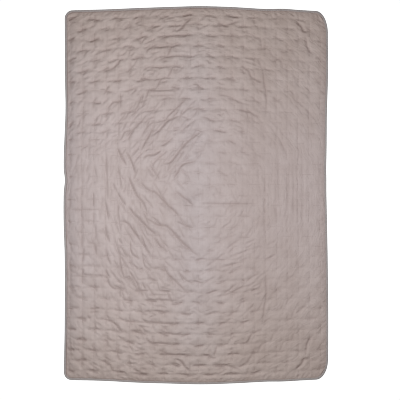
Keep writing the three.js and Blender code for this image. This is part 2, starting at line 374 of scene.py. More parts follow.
def rise_from_edge(distance, seam_rise, seam_share):
    """How far the face has risen towards its full height, quickly by the binding and then slowly."""
    slow = np.sin(np.clip(distance / EDGE_RISE, 0, 1) * np.pi / 2)
    quick = np.sin(np.clip(distance / seam_rise, 0, 1) * np.pi / 2)
    return (1 - seam_share) * slow + seam_share * quick


side_share = np.interp(rest_u / mm, SIDE_SEAM_SHARE[:, 0], SIDE_SEAM_SHARE[:, 1])
rise = np.minimum(rise_from_edge(side_distance, SIDE_SEAM_RISE, side_share),
                  rise_from_edge(end_distance, END_SEAM_RISE, END_SEAM_SHARE))
level_share = level_fold_share(rest_u, rest_v)
calm_puffs = np.interp(rest_u / mm, CALM_PUFFS_ACROSS[:, 0], CALM_PUFFS_ACROSS[:, 1])
puff_share = calm_puffs + (FULL_PUFFS - calm_puffs) * np.clip(level_share, 0, 1)
face_z = SEWN_HEIGHT + (face[..., 2] - SEWN_HEIGHT) * puff_share
face_z = EDGE_HEIGHT + (face_z - EDGE_HEIGHT) * rise

# The cloth is smoothed outwards from the middle by hand, so every trough is steep on its inner side and
# gentle on its outer side
LEAN = 0.5
CORE_HALF_WIDTH = 5 * mm
FLOW_SOFTNESS = 250 * mm
WAVE_STEEPNESS = 2.5
RIDGE_OFFSET = 1.7
RIDGE_SHARE = 0.5
TROUGH_REACH = 4
trough = np.zeros(face_z.shape)
# How much painted shade the core of each trough gets in the cloth's colour
crease_shade = np.zeros(face_z.shape)
ridge = np.zeros(face_z.shape)


def press(line, depth, half_width, crease_shade_share=1.0):
    """Presses a trough into the face along a line of points, with ends that fade out, and marks painted shade
    along its core.
    """
    drag = LARGEST_DRAG if line[:, 0].min() < 0 else 0
    margin = TROUGH_REACH * half_width + np.array([0, drag])
    low, high = line.min(0) - margin, line.max(0) + margin
    part = (slice(*np.searchsorted(fine_along, (low[1], high[1]))),
            slice(*np.searchsorted(fine_across, (low[0], high[0]))))
    x, y = face_x[part], face_y[part]
    steps = np.diff(line, axis=0)
    lengths = np.linalg.norm(steps, axis=1)
    begins = np.concatenate([[0], np.cumsum(lengths)])
    for begin, step, length, travelled in zip(line, steps, lengths, begins):
        along = np.clip(((x - begin[0]) * step[0] + (y - begin[1]) * step[1]) / length**2, 0, 1)
        gap_x = x - begin[0] - along * step[0]
        gap_y = y - begin[1] - along * step[1]
        away = np.hypot(gap_x, gap_y)
        outer = (gap_x * x + gap_y * y) / (away * np.hypot(x, y) + 1e-9)
        share = (travelled + along * length) / begins[-1]
        fade = 1 - (2 * share - 1) ** 4
        pressed = depth * fade * np.exp(-((away / (half_width * (1 + LEAN * outer))) ** 2))
        trough[part] = np.maximum(trough[part], pressed)
        creased = crease_shade_share * depth * fade * np.exp(-((away / CORE_HALF_WIDTH) ** 2))
        crease_shade[part] = np.maximum(crease_shade[part], creased)
        shoulder = np.exp(-((away / half_width - RIDGE_OFFSET) ** 2)) * np.clip(outer, 0, 1)
        ridge[part] = np.maximum(ridge[part], RIDGE_SHARE * depth * fade * shoulder)


def flow_slope(x, y):
    """Rise over run of the folds that run in rings round the middle of the quilt."""
    return -x * y / (y * y + FLOW_SOFTNESS**2)


def bent_line(x0, y0, x1, y1, bend):
    """Nine points of a shallow arc between two places."""
    run = np.array([x1 - x0, y1 - y0])
    sideways = np.array([-run[1], run[0]]) / np.hypot(*run)
    t = np.linspace(0, 1, 9)[:, None]
    return np.array([x0, y0]) + t * run + 4 * bend * t * (1 - t) * sideways


def waved(line):
    """Turns a slanting line into one that is level at both ends and steep in the middle."""
    t = np.linspace(-1, 1, len(line))
    low, high = line[0, 1], line[-1, 1]
    line[:, 1] += (high - low) / 2 * (np.tanh(WAVE_STEEPNESS * t) - t)
    return line


def press_field(line, depth, half_width):
    """Presses a trough along a line of places of the straight field."""
    press(np.stack(lay_out(*line.T), -1), depth, half_width)


# The two sewn lines of each cross, and the folds that the thread draws into the cloth beside them: they lean
# the way the rings run, wander off the thread a little, and end in a small knot where the two lines meet
ARM = 33 * mm
LEVEL_FLOW_ACROSS = np.array([
    # place across in mm, how far the level folds lean with the rings
    (-690, 0.3), (-630, 0.16), (-420, 0.2), (-250, 0.38),
])
UPRIGHT_FLOW_ACROSS = np.array([
    # place across in mm, how far the upright folds lean with the rings
    (-600, 0.2), (-450, 1.0),
])
UPRIGHT_FLOW_ALONG = np.array([
    # distance from the middle along the quilt in mm, share of that lean
    (450, 1.0), (620, 0.25),
])
EDGE_MARGIN = 6 * mm
LEVEL_DEPTH = 4.4 * mm
LEVEL_HALF_WIDTH = 9 * mm
UPRIGHT_DEPTH = 4.8 * mm
UPRIGHT_HALF_WIDTH = 9 * mm
KNOT_DEPTH = 4.2 * mm
KNOT_HALF_WIDTH = 7 * mm
FIRST_KNOT_DEPTH = 7.2 * mm
SEWN_DEPTH = 1.5 * mm
SEWN_HALF_WIDTH = 5 * mm
SEWN_ACROSS = np.array([
    # place across in mm, share of a sewn line's depth
    (-700, 1.0), (-350, 0.8), (-100, 0.4), (100, 0.2), (700, 0.2),
])
UPRIGHT_REACH = 48 * mm
FOLD_TILT = 4.8 * mm
FOLD_BEND = 3.0 * mm
FOLD_WANDER = 3.0 * mm
FOLD_REACH = (0.55, 1.25)
FOLD_DEPTHS = (0.55, 1.3)
SECOND_FOLD_CHANCE = 0.7
SECOND_FOLD_SHARE = (0.3, 0.7)
SECOND_FOLD_OFF = (9 * mm, 16 * mm)
STEEPEST_LEAN = 0.8
LOOSE_TILT_FROM = 200 * mm
LONG_UPRIGHTS = 250 * mm
KNOT_DEPTHS = (0.7, 1.3)
KNOT_REACH = 0.2
KNOT_TILT = 0.6


def press_cross_fold(u, v, run, depth, half_width):
    """A fold beside one sewn line of a cross, longer or shorter than it, and often a second one by it."""
    side = np.array([-run[1], run[0]]) / np.hypot(*run)
    for share in (1.0, rng.uniform(*SECOND_FOLD_SHARE)):
        before, after = rng.uniform(*FOLD_REACH, 2) * share
        off = rng.normal(0, FOLD_WANDER)
        if share < 1:
            off += rng.choice((-1, 1)) * rng.uniform(*SECOND_FOLD_OFF)
        bend = rng.normal(0, FOLD_BEND) * share
        drawn = depth * rng.uniform(*FOLD_DEPTHS) * share
        if share == 1 or rng.random() < SECOND_FOLD_CHANCE:
            first = np.array([u, v]) - before * run + off * side
            last = np.array([u, v]) + after * run + off * side
            line = bent_line(*first, *last, bend)
            if abs(run[0]) > abs(run[1]):
                line = waved(line)
            line[:, 0] = np.clip(line[:, 0], EDGE_MARGIN - HALF_ACROSS, HALF_ACROSS - EDGE_MARGIN)
            line[:, 1] = np.clip(line[:, 1], EDGE_MARGIN - HALF_ALONG, HALF_ALONG - EDGE_MARGIN)
            press_field(line, drawn, half_width)


arms = []
tilts = {}
for column, row in crosses:
    u, v = cross_columns[column], cross_rows[row]
    left, right = max(u - ARM, EDGE_MARGIN - HALF_ACROSS), min(u + ARM, HALF_ACROSS - EDGE_MARGIN)
    low, high = max(v - ARM, EDGE_MARGIN - HALF_ALONG), min(v + ARM, HALF_ALONG - EDGE_MARGIN)
    arms.append(bent_line(left, v, right, v, 0))
    arms.append(bent_line(u, low, u, high, 0))
    sewn_depth = SEWN_DEPTH * np.interp(u / mm, SEWN_ACROSS[:, 0], SEWN_ACROSS[:, 1])
    for line in arms[-2:]:
        press_field(line, sewn_depth, SEWN_HALF_WIDTH)
    loose_tilt = FOLD_TILT * np.clip(u / LOOSE_TILT_FROM, 1, 2)
    level_flow = np.interp(u / mm, LEVEL_FLOW_ACROSS[:, 0], LEVEL_FLOW_ACROSS[:, 1])
    upright_flow = fold_share(UPRIGHT_FLOW_ACROSS, UPRIGHT_FLOW_ALONG, u, abs(v))
    lean, side_lean = np.clip([flow_slope(u, v), flow_slope(v, u)], -STEEPEST_LEAN, STEEPEST_LEAN)
    tilt = level_flow * ARM * lean + rng.normal(0, loose_tilt)
    slip = upright_flow * ARM * side_lean + rng.normal(0, FOLD_TILT)
    tilts[column, row] = tilt
    level = level_fold_share(u, v)
    upright = fold_share(UPRIGHT_ACROSS, UPRIGHT_ALONG, u, v)
    press_cross_fold(u, v, np.array([ARM, tilt]), LEVEL_DEPTH * level, LEVEL_HALF_WIDTH)
    reach = ARM + (UPRIGHT_REACH - ARM) * np.clip(2 - abs(v) / LONG_UPRIGHTS, 0, 1)
    upright_run = np.array([slip, ARM]) * reach / ARM
    press_cross_fold(u, v, upright_run, UPRIGHT_DEPTH * upright, UPRIGHT_HALF_WIDTH)
    knot = KNOT_DEPTH * rng.uniform(*KNOT_DEPTHS) * max(level, upright)
    if column == 0:
        knot = FIRST_KNOT_DEPTH
    knot_x, knot_y = KNOT_REACH * ARM, KNOT_TILT * tilt
    knot_line = bent_line(u - knot_x, v - knot_y, u + knot_x, v + knot_y, 0)
    press_field(knot_line, knot, KNOT_HALF_WIDTH)

# Thin creases run on along the rows and columns from one cross to the next
RUN_ON_DEPTH = 2.2 * mm
RUN_ON_HALF_WIDTH = 6 * mm
RUN_ON_CHANCE = 0.8
RUN_ON_LOSS = 0.4
RUN_ON_LOSS_FROM = 150 * mm
RUN_ON_LOSS_SPAN = 200 * mm
RUN_ON_DEPTHS = (0.4, 1.2)
RUN_ON_WANDER = 3 * mm
ROW_RUN_ON = 0.8
COLUMN_RUN_ON = 0.3
ROW_CREASES_ACROSS = np.array([
    # place across in mm, share of a row crease's depth in the calm middle of the quilt's length
    (-700, 0.6), (-350, 0.6), (-100, 0.5), (300, 0.5), (400, 0.15), (700, 0.1),
])
COLUMN_CREASES_ACROSS = np.array([
    # place across in mm, share of a column crease's depth
    (-700, 1.0), (-350, 0.9), (-150, 0.4), (200, 0.25), (310, 0.3), (370, 1.4), (430, 1.3),
    (490, 0.9), (550, 0.7), (610, 0.4), (700, 0.2),
])
COLUMN_CREASES_ALONG = np.array([
    # distance from the middle along the quilt in mm, share of a column crease's depth
    (0, 1.0), (400, 1.0), (700, 0.85), (1000, 0.8),
])
RIGHT_COLUMN_CREASES_ALONG = np.array([
    # distance from the middle along the quilt in mm, the same share right of the middle
    (0, 1.0), (330, 1.0), (480, 0.35), (1000, 0.25),
])
for column, row in crosses:
    u, v = cross_columns[column], cross_rows[row]
    towards_right = np.clip((u - RUN_ON_LOSS_FROM) / RUN_ON_LOSS_SPAN, 0, 1)
    run_on_row = RUN_ON_CHANCE - RUN_ON_LOSS * towards_right
    if (column + 2, row) in tilts and rng.random() < run_on_row:
        calm = np.interp(u / mm, ROW_CREASES_ACROSS[:, 0], ROW_CREASES_ACROSS[:, 1])
        depth = RUN_ON_DEPTH * max(calm, min(level_fold_share(u, v), 1)) * rng.uniform(*RUN_ON_DEPTHS)
        begin = ROW_RUN_ON * np.array([ARM, tilts[column, row]])
        end = ROW_RUN_ON * np.array([ARM, tilts[column + 2, row]])
        line = bent_line(u + begin[0], v + begin[1], cross_columns[column + 2] - end[0], v - end[1],
                         rng.normal(0, RUN_ON_WANDER))
        press_field(line, depth, RUN_ON_HALF_WIDTH)
    if (column, row + 2) in tilts and rng.random() < RUN_ON_CHANCE:
        creases_along = COLUMN_CREASES_ALONG if u < 0 else RIGHT_COLUMN_CREASES_ALONG
        share = fold_share(COLUMN_CREASES_ACROSS, creases_along, u, abs(v))
        depth = RUN_ON_DEPTH * share * rng.uniform(*RUN_ON_DEPTHS)
        line = bent_line(u, v + COLUMN_RUN_ON * ARM, u + rng.normal(0, RUN_ON_WANDER),
                         cross_rows[row + 2] - COLUMN_RUN_ON * ARM, rng.normal(0, RUN_ON_WANDER))
        press_field(line, depth, RUN_ON_HALF_WIDTH)

# Where the spare cloth runs on from one cross to the next, a slack fold links their level arms, most often
# the way the folds run round the middle. Left of the middle there are many of them, like stairs
LINK_DEPTH = 3.4 * mm
LINK_HALF_WIDTH = 8 * mm
STAIRS_ACROSS = np.array([
    # place across in mm, share of the stairs
    (-520, 0.0), (-430, 1.0), (-100, 1.0), (20, 0.0),
])
STAIRS_ALONG = np.array([
    # distance from the middle along the quilt in mm, share of the stairs
    (0, 0.6), (80, 1.0), (420, 1.0), (560, 0.0),
])
STAIRS_CHANCE = 0.65
LINK_CHANCE = 0.35
LINK_FLOW = 0.4
LEFT_LINKS = -480 * mm
LEFT_LINK_SHARE = 0.4
LINK_DEPTHS = (0.4, 1.4)
LINK_START = (0.1, 0.5)
LINK_SLACK = (0.3, 0.8)
after_share = np.linspace(0, 1, 9)[:, None]
before_share = 1 - after_share
for column in range(CROSS_COLUMNS - 1):
    for row in range(1, CROSS_ROWS - 1):
        u, v = cross_columns[column], cross_rows[row]
        on_cross = (column + row) % 2 == 0
        stairs = fold_share(STAIRS_ACROSS, STAIRS_ALONG, u, abs(v))
        for turn in (-1, 1):
            with_flow = np.clip(turn * flow_slope(u, v) / LINK_FLOW, 0, 1)
            link_chance = LINK_CHANCE * with_flow * on_cross * (LEFT_LINK_SHARE if u < LEFT_LINKS else 1)
            chance = max(link_chance, STAIRS_CHANCE * stairs * (turn * v > 0))
            depth = LINK_DEPTH * max(level_fold_share(u, v) * on_cross, stairs) * rng.uniform(*LINK_DEPTHS)
            if rng.random() < chance:
                first = np.array([u + rng.uniform(*LINK_START) * ARM, v])
                next_column = cross_columns[column + 1]
                last = np.array([next_column - rng.uniform(*LINK_START) * ARM, cross_rows[row + turn]])
                slack = np.array([rng.uniform(*LINK_SLACK) * ARM, 0])
                curve = (before_share**3 * first + 3 * before_share**2 * after_share * (first + slack)
                         + 3 * before_share * after_share**2 * (last - slack) + after_share**3 * last)
                press_field(curve, depth, LINK_HALF_WIDTH)

# Small creases all over, bands of folds round the middle, and short puckers along the edge where the binding
# gathers the cloth
SMALL_CREASES = 1100
SMALL_HALF_LENGTHS = (10 * mm, 36 * mm)
SMALL_DEPTHS = (0.8 * mm, 2.8 * mm)
SMALL_TURN = 0.45
SMALL_BEND = 4 * mm
SMALL_HALF_WIDTH = 7 * mm
SMALL_CORE = 0.5
CREASED_ACROSS = np.array([
    # place across in mm, share of a small crease's depth
    (-700, 1.4), (-450, 1.8), (-250, 2.2), (0, 1.4), (200, 1.3), (300, 1.2), (400, 0.5), (700, 0.35),
])
FOLD_BANDS = [
    # number of folds, range across and along in mm, direction in degrees, deepest in mm
    (22, (-340, 10), (190, 490), 47, 8.0),
    (28, (-430, -60), (-520, 130), -50, 8.0),
    (22, (-650, -400), (-110, 300), 90, 4.0),
    (12, (390, 520), (-350, 310), 90, 1.6),
    (16, (40, 380), (-330, 380), 90, 2.2),
    (18, (40, 400), (-540, -230), 28, 5.5),
]
PLACING_TRIES = 12
SPREAD_ALONG = 0.3
FAR_AWAY = 9.0
BAND_TURN = 0.1
BAND_HALF_LENGTHS = (25 * mm, 80 * mm)
BAND_BEND = 5 * mm
BAND_DEPTHS = (0.35, 1)
BAND_FOLD_HALF_WIDTH = 8 * mm
BAND_FOLD_CORE = 0.5
PUCKER_SPACING = 22 * mm
PUCKER_START = 30 * mm
PUCKER_HALF_WIDTH = 6 * mm
PUCKER_CORE = 0.35
PUCKER_SHIFT = 6 * mm
SIDE_PUCKER_REACH = (14 * mm, 34 * mm)
SIDE_PUCKER_SLANT = 9 * mm
SIDE_PUCKER_DEPTHS = (1.0 * mm, 3.2 * mm)
END_PUCKER_REACH = (18 * mm, 42 * mm)
END_PUCKER_SLANT = (0.2, 1.1)
END_PUCKER_DEPTHS = (1.4 * mm, 4.2 * mm)


def press_pucker(u, v, depth):
    """Presses a short straight pucker between two places of the straight field."""
    ends = np.stack(lay_out(u, v), -1)
    press(np.linspace(*ends, 3), depth, PUCKER_HALF_WIDTH, PUCKER_CORE)


for _ in range(SMALL_CREASES):
    x = rng.uniform(-HALF_ACROSS, HALF_ACROSS)
    y = rng.uniform(-HALF_ALONG, HALF_ALONG)
    angle = np.arctan2(x, -y) + rng.normal(0, SMALL_TURN)
    half = rng.uniform(*SMALL_HALF_LENGTHS)
    run = half * np.array([np.cos(angle), np.sin(angle)])
    depth = rng.uniform(*SMALL_DEPTHS) * np.interp(x / mm, CREASED_ACROSS[:, 0], CREASED_ACROSS[:, 1])
    line = bent_line(x - run[0], y - run[1], x + run[0], y + run[1], rng.normal(0, SMALL_BEND))
    press(line, depth, SMALL_HALF_WIDTH, SMALL_CORE)
for number, (x_low, x_high), (y_low, y_high), angle, deepest in FOLD_BANDS:
    angle = np.radians(angle)
    sideways = np.array([-np.sin(angle), np.cos(angle)])
    placed = np.full((1, 2), FAR_AWAY)
    for _ in range(number):
        tries = rng.uniform((x_low, y_low), (x_high, y_high), (PLACING_TRIES, 2)) * mm
        gaps = tries[:, None] - placed[None]
        apart = np.hypot(gaps @ sideways, SPREAD_ALONG * (gaps @ np.array([sideways[1], -sideways[0]])))
        at = tries[apart.min(1).argmax()]
        placed = np.vstack([placed, at])
        turned = angle + rng.normal(0, BAND_TURN)
        run = rng.uniform(*BAND_HALF_LENGTHS) * np.array([np.cos(turned), np.sin(turned)])
        line = bent_line(*(at - run), *(at + run), rng.normal(0, BAND_BEND))
        press(line, deepest * mm * rng.uniform(*BAND_DEPTHS), BAND_FOLD_HALF_WIDTH, BAND_FOLD_CORE)
for side in (-1, 1):
    for along in np.arange(PUCKER_START - HALF_ALONG, HALF_ALONG - PUCKER_START, PUCKER_SPACING):
        reach = rng.uniform(*SIDE_PUCKER_REACH)
        slant = rng.normal(0, SIDE_PUCKER_SLANT)
        place = along + rng.normal(0, PUCKER_SHIFT)
        press_pucker(side * np.array([HALF_ACROSS, HALF_ACROSS - reach]), np.array([place, place + slant]),
                     rng.uniform(*SIDE_PUCKER_DEPTHS))
    for across in np.arange(PUCKER_START - HALF_ACROSS, HALF_ACROSS - PUCKER_START, PUCKER_SPACING):
        reach = rng.uniform(*END_PUCKER_REACH)
        slant = np.sign(across) * reach * rng.uniform(*END_PUCKER_SLANT)
        place = across + rng.normal(0, PUCKER_SHIFT)
        press_pucker(np.array([place, place + slant]), side * np.array([HALF_ALONG, HALF_ALONG - reach]),
                     rng.uniform(*END_PUCKER_DEPTHS))

# The long folds that show in the middle of the quilt, then those that show at its head and again at its foot
MIDDLE_FOLDS = [
    # depth, points along the fold, in mm
    (5.0, [(-294, 233), (-271, 279), (-241, 333), (-227, 366)]),
    (6.0, [(-281, 194), (-261, 211), (-218, 218), (-186, 237)]),
    (5.0, [(-236, 313), (-191, 349), (-156, 391), (-127, 407), (-74, 423)]),
    (6.5, [(-182, 167), (-138, 173), (-102, 215), (-69, 258), (-31, 295), (38, 343)]),
    (5.0, [(-122, 82), (-95, 126), (-69, 162), (6, 183)]),
    (4.0, [(-191, 258), (-154, 279), (-122, 306)]),
    (4.0, [(-367, 311), (-335, 349), (-298, 375)]),
    (5.5, [(-421, 258), (-394, 199), (-367, 157)]),
    (5.5, [(-373, 237), (-341, 173), (-319, 109)]),
    (6.5, [(-362, 109), (-341, 55), (-314, -3), (-287, -30), (-255, -99)]),
    (6.0, [(-303, 77), (-255, 29), (-213, 13), (-159, -46), (-117, -83), (-79, -121)]),
    (4.0, [(-250, 167), (-213, 114), (-191, 77)]),
    (4.5, [(-111, 23), (-69, -9), (-10, -57)]),
    (4.5, [(-421, 18), (-394, -25), (-373, -57)]),
    (6.5, [(-362, -57), (-330, -99), (-282, -147), (-239, -190), (-202, -211)]),
    (6.0, [(-282, -110), (-250, -131), (-202, -158), (-149, -169), (-101, -222), (-47, -275), (17, -329)]),
    (4.0, [(-239, -110), (-207, -137), (-175, -174)]),
    (5.0, [(-421, -137), (-367, -147), (-325, -201), (-287, -254), (-234, -334)]),
    (4.0, [(-229, -217), (-191, -270), (-149, -297)]),
    (4.0, [(-106, -137), (-53, -163), (-10, -174)]),
    (3.0, [(-479, 253), (-474, 109), (-469, -35)]),
    (3.5, [(-415, 167), (-405, 93), (-394, 23)]),
    (3.0, [(-415, -41), (-410, -147)]),
    (3.5, [(17, -43), (171, -46), (331, -46)]),
    (1.6, [(390, 380), (406, 349), (440, 300), (464, 258), (491, 199)]),
    (1.4, [(494, 170), (492, 29), (486, -51), (470, -142)]),
    (1.4, [(433, 242), (438, 109), (438, -41)]),
    (0.9, [(513, 189), (518, 29), (518, -195)]),
    (0.9, [(561, 253), (566, 29), (566, -217)]),
    (2.2, [(-31, 802), (-29, 741), (-31, 679)]),
    (2.2, [(-31, -888), (-33, -934), (-31, -970)]),
]
LEFT_FOLDS = [
    # depth, points along the fold, in mm
    (4.0, [(-479, 407), (-469, 434), (-437, 442)]),
    (3.5, [(-287, 471), (-279, 487), (-271, 503)]),
    (4.0, [(-351, 423), (-325, 439), (-319, 461)]),
    (3.5, [(-399, 418), (-389, 439), (-330, 447)]),
    (4.0, [(-274, 380), (-255, 402), (-223, 418)]),
    (3.5, [(-223, 434), (-210, 450), (-197, 466)]),
    (4.0, [(-170, 519), (-150, 521), (-127, 514)]),
    (3.5, [(-410, 386), (-409, 340), (-407, 295)]),
    (3.0, [(-479, 301), (-470, 335), (-458, 364)]),
    (4.5, [(-485, -25), (-474, -80), (-461, -137)]),
    (4.5, [(-485, -163), (-474, -210), (-458, -254)]),
    (4.5, [(-482, -286), (-470, -330), (-453, -371)]),
    (4.5, [(-485, -398), (-473, -418), (-458, -435)]),
    (4.5, [(-474, -451), (-460, -474), (-442, -494)]),
    (4.0, [(-418, -67), (-407, -139), (-399, -201)]),
    (4.5, [(-410, -227), (-402, -245), (-394, -259)]),
    (5.0, [(-410, -281), (-399, -387), (-383, -435)]),
    (4.0, [(-421, -451), (-412, -460), (-399, -467)]),
    (5.0, [(-351, -238), (-341, -307), (-293, -345)]),
    (5.5, [(-293, -206), (-271, -270), (-239, -323)]),
    (5.0, [(-287, -302), (-271, -377), (-234, -403)]),
    (4.0, [(-357, -350), (-344, -370), (-330, -387)]),
    (4.5, [(-351, -409), (-339, -428), (-325, -446)]),
    (4.5, [(-383, -435), (-351, -438), (-319, -489)]),
    (4.5, [(-287, -467), (-277, -483), (-266, -499)]),
    (3.0, [(-676, -75), (-580, -77), (-490, -75)]),
    (2.5, [(-618, -139), (-575, -136), (-533, -137)]),
    (3.0, [(-511, -198), (-487, -198), (-463, -198)]),
    (3.0, [(-618, -377), (-575, -376), (-533, -377)]),
    (3.5, [(-661, -433), (-581, -425), (-458, -435)]),
    (3.0, [(-607, -90), (-606, -150), (-604, -190)]),
    (3.5, [(-607, -205), (-606, -255), (-604, -290)]),
    (3.5, [(-540, -150), (-533, -190), (-536, -245)]),
    (3.5, [(-537, -255), (-533, -300), (-528, -325)]),
]
END_FOLDS = [
    # depth, points along the fold at the head, in mm
    (5.5, [(-111, 866), (-79, 887), (-58, 914), (-21, 943)]),
    (5.5, [(-202, 819), (-154, 846), (-101, 850), (-15, 855)]),
    (5.0, [(-266, 743), (-255, 775), (-223, 789), (-170, 789), (-101, 807)]),
    (4.5, [(-351, 722), (-298, 733), (-271, 749)]),
    (6.0, [(-495, 658), (-437, 679), (-405, 717), (-389, 735)]),
    (5.0, [(-293, 647), (-261, 679), (-218, 682), (-170, 682), (-63, 693)]),
    (5.0, [(-202, 713), (-154, 735), (-85, 743), (-42, 749)]),
    (4.0, [(-298, 626), (-229, 615), (-154, 626), (-127, 631)]),
    (4.5, [(-474, 450), (-442, 493), (-405, 503)]),
    (4.0, [(-405, 551), (-399, 466)]),
    (5.5, [(-346, 434), (-314, 466), (-293, 519), (-277, 541)]),
    (5.5, [(-181, 365), (-149, 419), (-111, 455), (-79, 487), (-37, 530)]),
    (4.5, [(-293, 306), (-261, 359), (-229, 386), (-181, 386)]),
    (4.5, [(-90, 413), (-47, 455), (-5, 471)]),
    (4.0, [(-282, 557), (-191, 557), (-79, 562)]),
    (3.5, [(-266, 530), (-191, 530), (-106, 533)]),
    (4.5, [(523, 935), (561, 898), (577, 871), (614, 877)]),
    (4.5, [(582, 855), (593, 786), (625, 743)]),
    (3.5, [(353, 690), (363, 599), (374, 535), (374, 413)]),
    (4.5, [(86, 903), (161, 906), (241, 930)]),
    (3.0, [(406, 525), (433, 503), (459, 519)]),
    (4.0, [(102, 541), (171, 525), (235, 493), (289, 477)]),
    (4.0, [(262, 466), (299, 434), (342, 413)]),
]
FOLD_HALF_WIDTH = 9 * mm
MIDDLE_FOLD_HALF_WIDTH = 11 * mm
MIDDLE_FOLD_SHARE = 1.5
MIDDLE_FOLD_CORE = 0.85
LEFT_FOLD_SHARE = 1.2


def press_fold(depth, points, half_width, crease_shade_share):
    """Presses a long fold along the smooth curve through a few points of the face, all in mm."""
    points = np.array(points) * mm
    count = np.arange(len(points), dtype=float)
    at = np.linspace(0, len(points) - 1, 4 * len(points))
    line = np.stack([curve_through(count, points[:, k], at) for k in (0, 1)], -1)
    press(line, depth * mm, half_width, crease_shade_share)


for depth, points in MIDDLE_FOLDS:
    press_fold(MIDDLE_FOLD_SHARE * depth, points, MIDDLE_FOLD_HALF_WIDTH, MIDDLE_FOLD_CORE)
for depth, points in LEFT_FOLDS:
    press_fold(LEFT_FOLD_SHARE * depth, points, FOLD_HALF_WIDTH, MIDDLE_FOLD_CORE)
for depth, points in END_FOLDS:
    press_fold(depth, points, FOLD_HALF_WIDTH, 1.0)
    press_fold(depth, [(x, -y) for x, y in points], FOLD_HALF_WIDTH, 1.0)

# The troughs and ridges go into the face. They fade out at its edge, and stay above the back
LOWEST_FACE = 2.6 * mm
RELIEF_RISE = 10 * mm
relief = ridge * np.clip(1 - trough / LEVEL_DEPTH, 0, 1) - trough
face_z = np.maximum(face_z + relief * np.clip(edge_distance / RELIEF_RISE, 0, 1), LOWEST_FACE)
groove = np.clip(trough / LEVEL_DEPTH, 0, 1)


def round_rim(ids):
    """Numbers of the points round the rim of a grid, anticlockwise."""
    return np.concatenate([ids[0, :-1], ids[:-1, -1], ids[-1, :0:-1], ids[:0:-1, 0]])


# The face's edge runs anticlockwise round the quilt, each point with its outward mitre
face_ids = np.arange(face_z.size).reshape(face_z.shape)
edge_ids = round_rim(face_ids)
edge = np.stack([face_x.ravel()[edge_ids], face_y.ravel()[edge_ids]], -1)


def outward(path):
    """Each point's outward mitre on a closed path that runs anticlockwise."""
    along = np.roll(path, -1, 0) - path
    normal = np.stack([along[:, 1], -along[:, 0]], -1) / np.linalg.norm(along, axis=1)[:, None]
    mitre = normal + np.roll(normal, 1, 0)
    mitre /= np.linalg.norm(mitre, axis=1)[:, None]
    return mitre / (mitre * normal).sum(1)[:, None]


edge_mitre = outward(edge)
outline = edge + BINDING_WIDTH * edge_mitre
middle = (outline.min(0) + outline.max(0)) / 2
edge = edge - middle
face_points = np.stack([face_x - middle[0], face_y - middle[1], face_z], -1)


def ring(inset, height):
    """Points all round the quilt, an inset in from its outer edge."""
    out = np.broadcast_to(BINDING_WIDTH - inset, len(edge))[:, None] * edge_mitre
    return np.column_stack([edge + out, np.broadcast_to(height, len(edge))])


def wall(first, second):
    """Faces between two closed rings of points."""
    return np.stack([first, second, np.roll(second, -1), np.roll(first, -1)], -1)


# The flat flange inside the binding, and the back cloth, a coarser grid that is drawn up a little at each
# cross
FLANGE_INSET = 1.8 * mm
FLANGE_BOTTOM = 1.5 * mm
BACK_EVERY = 4
BACK_LIFT = 2.2 * mm
BACK_EVENING = 4
upper_ring = ring(FLANGE_INSET, EDGE_HEIGHT)
lower_ring = ring(FLANGE_INSET, FLANGE_BOTTOM)
back = face_points[::BACK_EVERY, ::BACK_EVERY].copy()
back_seam = blurred(groove, BACK_EVENING)[::BACK_EVERY, ::BACK_EVERY]
back[..., 2] = BACK_LIFT * np.clip(back_seam, 0, 1)
on_rim = np.zeros(back.shape[:2], bool)
on_rim[[0, -1]] = True
on_rim[:, [0, -1]] = True
back[on_rim, 2] = FLANGE_BOTTOM

first_upper = face_points.shape[0] * face_points.shape[1]
upper_ids = first_upper + np.arange(len(edge))
lower_ids = upper_ids + len(edge)
back_ids = lower_ids[-1] + 1 + np.arange(back.shape[0] * back.shape[1]).reshape(back.shape[:2])
back_edge = round_rim(back_ids)
body_faces = [*grid_faces(face_ids), *wall(edge_ids, upper_ids), *wall(upper_ids, lower_ids)]
for k, here in enumerate(back_edge):
    there = back_edge[(k + 1) % len(back_edge)]
    fine = lower_ids[(BACK_EVERY * k + np.arange(BACK_EVERY + 1)) % len(lower_ids)]
    half = BACK_EVERY // 2
    for step in range(BACK_EVERY):
        body_faces.append((fine[step], here if step < half else there, fine[step + 1]))
    body_faces.append((fine[half], here, there))
body_faces.extend(grid_faces(back_ids)[:, ::-1])
body_points = np.concatenate([face_points.reshape(-1, 3), upper_ring, lower_ring, back.reshape(-1, 3)])
quilt_body = new_piece("quilt_body_cover", body_points, body_faces)

# How much painted shade each place gets, in the shadowed core of its groove or crease and in the shadowed
# groove beside the binding, kept for the cloth's colour
FULL_CORE = 5 * mm
EDGE_GROOVE_SHADE_ACROSS = np.array([
    # place across in mm, how dark the painted shade is in the groove beside the binding
    (-700, 1.7), (100, 1.7), (690, 0.5),
])
END_GROOVE_SHADE = 0.75
ON_EDGE = 0.1 * mm
groove_shade_mark = quilt_body.data.attributes.new("groove", "FLOAT", "POINT")
groove_shade_values = np.zeros(len(body_points), np.float32)
groove_shade_values[:groove.size] = np.clip(crease_shade / FULL_CORE, 0, 1).ravel()
edge_groove_shade = np.interp(edge[:, 0] / mm, EDGE_GROOVE_SHADE_ACROSS[:, 0], EDGE_GROOVE_SHADE_ACROSS[:, 1])
at_end = end_distance.ravel()[edge_ids] < ON_EDGE
groove_shade_values[edge_ids] = np.where(at_end, END_GROOVE_SHADE * edge_groove_shade, edge_groove_shade)
groove_shade_mark.data.foreach_set("value", groove_shade_values)


